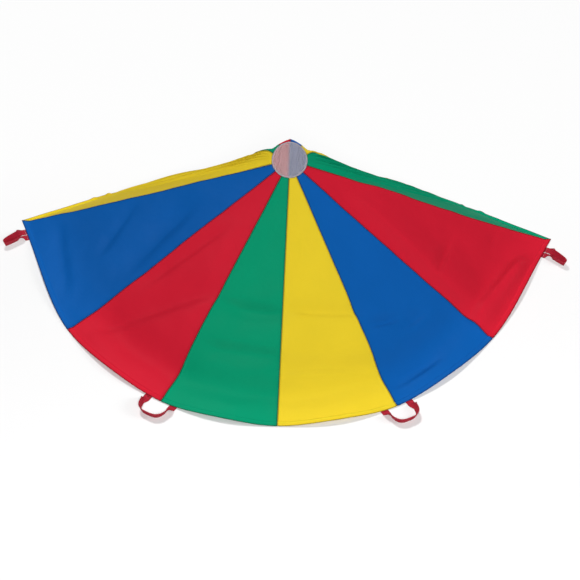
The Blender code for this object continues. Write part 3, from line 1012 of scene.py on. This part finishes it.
def webbing(name):
    paint = Paint(name)
    across, along = paint.uv("cloth")
    slant = paint.node("ShaderNodeMath", {"operation": "PINGPONG"}, {0: across, 1: HERRINGBONE})
    stripe = (along + slant * HERRINGBONE_SLANT) / RIB_PITCH
    rib = paint.node("ShaderNodeMath", {"operation": "SINE"}, {0: stripe * math.tau}) * 0.5 + 0.5
    fuzz = paint.grain(paint.vector(across, along), 900.0, 2.0)
    tone = paint.mix(rib, shade(WEBBING_COLOUR, 0.72), shade(WEBBING_COLOUR, 1.16))
    tone = paint.mix(fuzz * 0.4, tone, shade(WEBBING_COLOUR, 0.9))
    tone = paint.mix(paint.fade(abs(across), *SELVEDGE) * 0.5, tone, shade(WEBBING_COLOUR, 0.75))
    return paint.coat(Base_Color=tone, Roughness=0.62 + fuzz * 0.1, Specular_IOR_Level=0.12,
                      Normal=paint.bump(rib * 0.7 + fuzz * 0.4, 0.0004, 0.7))


webbing_paint = webbing("webbing_red")
print("webbing colour:", WEBBING_COLOUR[:3])

# %% [markdown]
# The webbing's cross-section is a flat strip with rounded edges. One helper skins it through a row
# of places and lays its UV map, and both the loops and their sewn ends are made with it.

# %% A strip of webbing
STRIP_STEPS = 5


def webbing_outline():
    """The outline of the webbing's cross-section, with rounded edges."""
    half, thick = WEBBING_WIDTH / 2, WEBBING_THICKNESS / 2
    steps = range(-STRIP_STEPS, STRIP_STEPS + 1)
    top = [(k / STRIP_STEPS * (half - thick), thick) for k in steps]
    bottom = [(k / STRIP_STEPS * (half - thick), -thick) for k in reversed(steps)]
    return top + [(half, 0)] + bottom + [(-half, 0)]


def webbing_strip(outline, sections):
    """A strip through sections, each with its length along the strip and its outline's points."""
    bm = bmesh.new()
    uv = bm.loops.layers.uv.new("cloth")
    rings = [(at, [bm.verts.new(point) for point in points]) for at, points in sections]
    for (here_at, here), (there_at, there) in zip(rings, rings[1:]):
        for k in range(len(outline)):
            n = (k + 1) % len(outline)
            face = bm.faces.new((here[k], here[n], there[n], there[k]))
            spots = ((k, here_at), (n, here_at), (n, there_at), (k, there_at))
            for corner, (which, at) in zip(face.loops, spots):
                corner[uv].uv = (outline[which][0], at)
    for ring in (rings[0][1], rings[-1][1]):
        bm.faces.new(ring)
    return bm


print("points round the webbing:", len(webbing_outline()))

# %% [markdown]
# ## Hand loops
#
# Each loop starts flat at one sewn end, twists up on edge for the grip, and comes down flat again.
# It lies where the frame has it, so its path is read from the frame's joint: the hinge gives the
# place and the direction along the hem, and the loop reaches outwards from there. The loops at the
# corners have their ends close together and sweep to the front, as in the photograph.

# %% The path of a loop
LOOP_TILT = math.radians(70)
LOOP_FLAT, LOOP_TWIST = 0.006, 0.026
LOOP_GAP = 0.0003
LOOP_ROUNDING = 0.62
SWEEP = math.tan(math.radians(23))
# for each loop: how far apart its ends are, its reach, how wide its grip is against its ends,
# and how far it sweeps sideways for each metre outwards
LOOPS = {1: (0.027, 0.078, 0.76, -SWEEP), 2: (0.088, 0.069, 1.0, 0.0), 3: (0.088, 0.069, 1.0, 0.0),
         4: (0.027, 0.078, 0.76, SWEEP), 5: (0.027, 0.043, 2.3, 0.0), 6: (0.027, 0.043, 2.3, 0.0)}


def twisted(out):
    """0 where the strip lies flat, and 1 where it has turned all the way on edge."""
    return float(ease((out - LOOP_FLAT) / LOOP_TWIST))


def loop_point(shape, turn):
    """The middle of the strip, as turn goes from 0 at one sewn end to 1 at the other."""
    spread, reach, grip, sweep = shape
    angle = math.pi * turn
    along, out = -math.cos(angle), reach * abs(math.sin(angle)) ** LOOP_ROUNDING
    width = spread * (1 + (grip - 1) * twisted(out) ** 2)
    x = math.copysign(abs(along) ** LOOP_ROUNDING, along) * width / 2
    return Vector((x + sweep * out * twisted(out), LOOP_GAP + out, 0))


def hinge_place(number):
    """Where the frame's hinge has the loop: X along the hem, Y outwards."""
    joints = frame["record"]["behaviour"]["joints"]
    joint = next(j for j in joints if j["name"] == f"handle_{number}_fold")
    along, up = Vector(joint["axis"]), Vector((0, 0, 1))
    turn = Matrix((along, up.cross(along), up)).transposed().to_4x4()
    return Matrix.Translation(joint["pos_m"]) @ turn


print("a front loop reaches out to:", round(loop_point(LOOPS[2], 0.5).y, 4))

# %% [markdown]
# The strip is laid along the path with its steps crowded towards the ends, where it twists. It
# leans over by the tilt, and rises by as much as its lower edge would otherwise go into the floor.

# %% Hand loops
LOOP_STEPS = 72
DIRECTION_STEP = 0.01


def loop_section(shape, step, outline):
    """The middle of the strip at one step, and the points of its outline there."""
    turn = (1 - math.cos(math.pi * step / LOOP_STEPS)) / 2
    here = loop_point(shape, turn)
    ahead = loop_point(shape, min(turn + DIRECTION_STEP, 1)) \
        - loop_point(shape, max(turn - DIRECTION_STEP, 0))
    inwards = ahead.cross(Vector((0, 0, 1))).normalized()
    if step in (0, LOOP_STEPS):
        inwards = Vector((math.copysign(1, -here.x), 0, 0))
    tilt = LOOP_TILT * twisted(here.y - LOOP_GAP)
    wide = inwards * math.cos(tilt) - Vector((0, 0, math.sin(tilt)))
    thin = inwards * math.sin(tilt) + Vector((0, 0, math.cos(tilt)))
    rise = WEBBING_WIDTH / 2 * math.sin(tilt) + WEBBING_THICKNESS / 2 * math.cos(tilt)
    middle = here + Vector((0, 0, rise - WEBBING_THICKNESS))
    return middle, [middle + wide * a + thin * b for a, b in outline]


def add_loop(number, shape, place):
    outline = webbing_outline()
    gone, before, sections = 0.0, None, []
    for step in range(LOOP_STEPS + 1):
        middle, points = loop_section(shape, step, outline)
        gone += (middle - before).length if before else 0
        before = middle
        sections.append((gone, points))
    name = f"handle_{number}"
    return add_object(f"{name}_webbing", webbing_strip(outline, sections), webbing_paint, name,
                      [name], place)


for number, shape in LOOPS.items():
    add_loop(number, shape, hinge_place(number))
print("loops:", len(LOOPS))

# %% [markdown]
# The loop's ends go under the hem and are sewn down there. The ends keep the frame's shape, with
# softer edges. They stay with the canopy when the loop turns.

# %% Sewn ends
TAB_LENGTH = 0.026
TAB_STEPS = 8


def add_tab(number, side, spread, place):
    middle = (-spread if side == "a" else spread) / 2
    outline = webbing_outline()
    sections = []
    for k in range(TAB_STEPS + 1):
        y = -TAB_LENGTH + (TAB_LENGTH - LOOP_GAP) * k / TAB_STEPS
        z = -WEBBING_THICKNESS / 2
        sections.append((y, [(middle + a, y, z + b) for a, b in outline]))
    name = f"handle_{number}_tab_{side}"
    return add_object(f"{name}_webbing", webbing_strip(outline, sections), webbing_paint, "canopy",
                      [name], place)


for number, shape in LOOPS.items():
    for side in "ab":
        add_tab(number, side, shape[0], hinge_place(number))
print("sewn ends:", 2 * len(LOOPS))

# %% [markdown]
# ## Floor
#
# The photograph has a pure white ground with a faint shadow beside the hem. The floor here is a
# plain pale surface. In front the lamps bring it to white, and the hem's shadow stays on it.
# Behind the tent they don't quite, so what the camera sees of it there is lifted towards white.
# The lift is for the camera alone: it sends no light to the cloth.

# %% Floor
FLOOR_COLOUR = (0.78, 0.78, 0.78, 1)
FLOOR_SIZE = 30
UNDER_THE_CLOTH = 0.0003
LIFT_BEHIND = 0.80
LIFT_GROWS = (-0.20, 0.55)


def add_floor():
    bm = bmesh.new()
    bmesh.ops.create_grid(bm, x_segments=1, y_segments=1, size=FLOOR_SIZE)
    mesh = bpy.data.meshes.new("floor")
    bm.to_mesh(mesh)
    bm.free()
    floor = bpy.data.objects.new("floor", mesh)
    bpy.context.scene.collection.objects.link(floor)
    floor.location.z = -UNDER_THE_CLOTH
    paint = Paint("floor_white")
    sight = paint.node("ShaderNodeLightPath", None, None, "Is Camera Ray")
    across = paint.node("ShaderNodeSeparateXYZ", None, {0: paint.place()})
    behind = 1 - paint.fade(across.out("Y"), *LIFT_GROWS)
    paint.coat(Base_Color=FLOOR_COLOUR, Roughness=1.0, Specular_IOR_Level=0.0)
    white = paint.node("ShaderNodeEmission", None, {"Color": (1, 1, 1, 1), "Strength": 1.0})
    paint.blend(sight * behind * LIFT_BEHIND, white)
    mesh.materials.append(paint.material)
    return floor


floor = add_floor()
print("floor at", floor.location.z)

# %% [markdown]
# ## Light
#
# Three round lamps and a faint white room. One stands in front, just under the camera, and shows
# the bends of the front gores. One stands high behind on the left: it lights the back gores and
# throws the soft shadow along the right of the hem. A weak one on the right keeps that side open.
# Their strengths were set so that the sum of their light matches the photograph. Their strengths
# come from renders with one lamp each, whose sum was set against the photograph.

# %% Light
AIMED_AT = (0, 0, 0.1)
ROOM_LIGHT = 0.08
# place, width and watts of each lamp
LAMPS = {"front": ((0.2, -5.8, 5.4), 1.8, 485), "back": ((-2.5, 5.0, 8.4), 1.8, 640),
         "side": ((6, -1, 3), 2.6, 130)}


def add_lamp(name, place, size, watts):
    lamp = bpy.data.objects.new(name, bpy.data.lights.new(name, "AREA"))
    lamp.data.shape, lamp.data.size, lamp.data.energy = "DISK", size, watts
    lamp.location = place
    lamp.rotation_euler = (Vector(AIMED_AT) - Vector(place)).to_track_quat("-Z", "Y").to_euler()
    bpy.context.scene.collection.objects.link(lamp)
    return lamp


for name, (place, size, watts) in LAMPS.items():
    add_lamp(name, place, size, watts)
world = bpy.data.worlds.new("white_room")
bpy.context.scene.world = world
world.use_nodes = True
world.node_tree.nodes["Background"].inputs["Color"].default_value = (1, 1, 1, 1)
world.node_tree.nodes["Background"].inputs["Strength"].default_value = ROOM_LIGHT
bpy.context.scene.view_settings.view_transform = "Standard"
print("lamps in watts:", [watts for place, size, watts in LAMPS.values()])
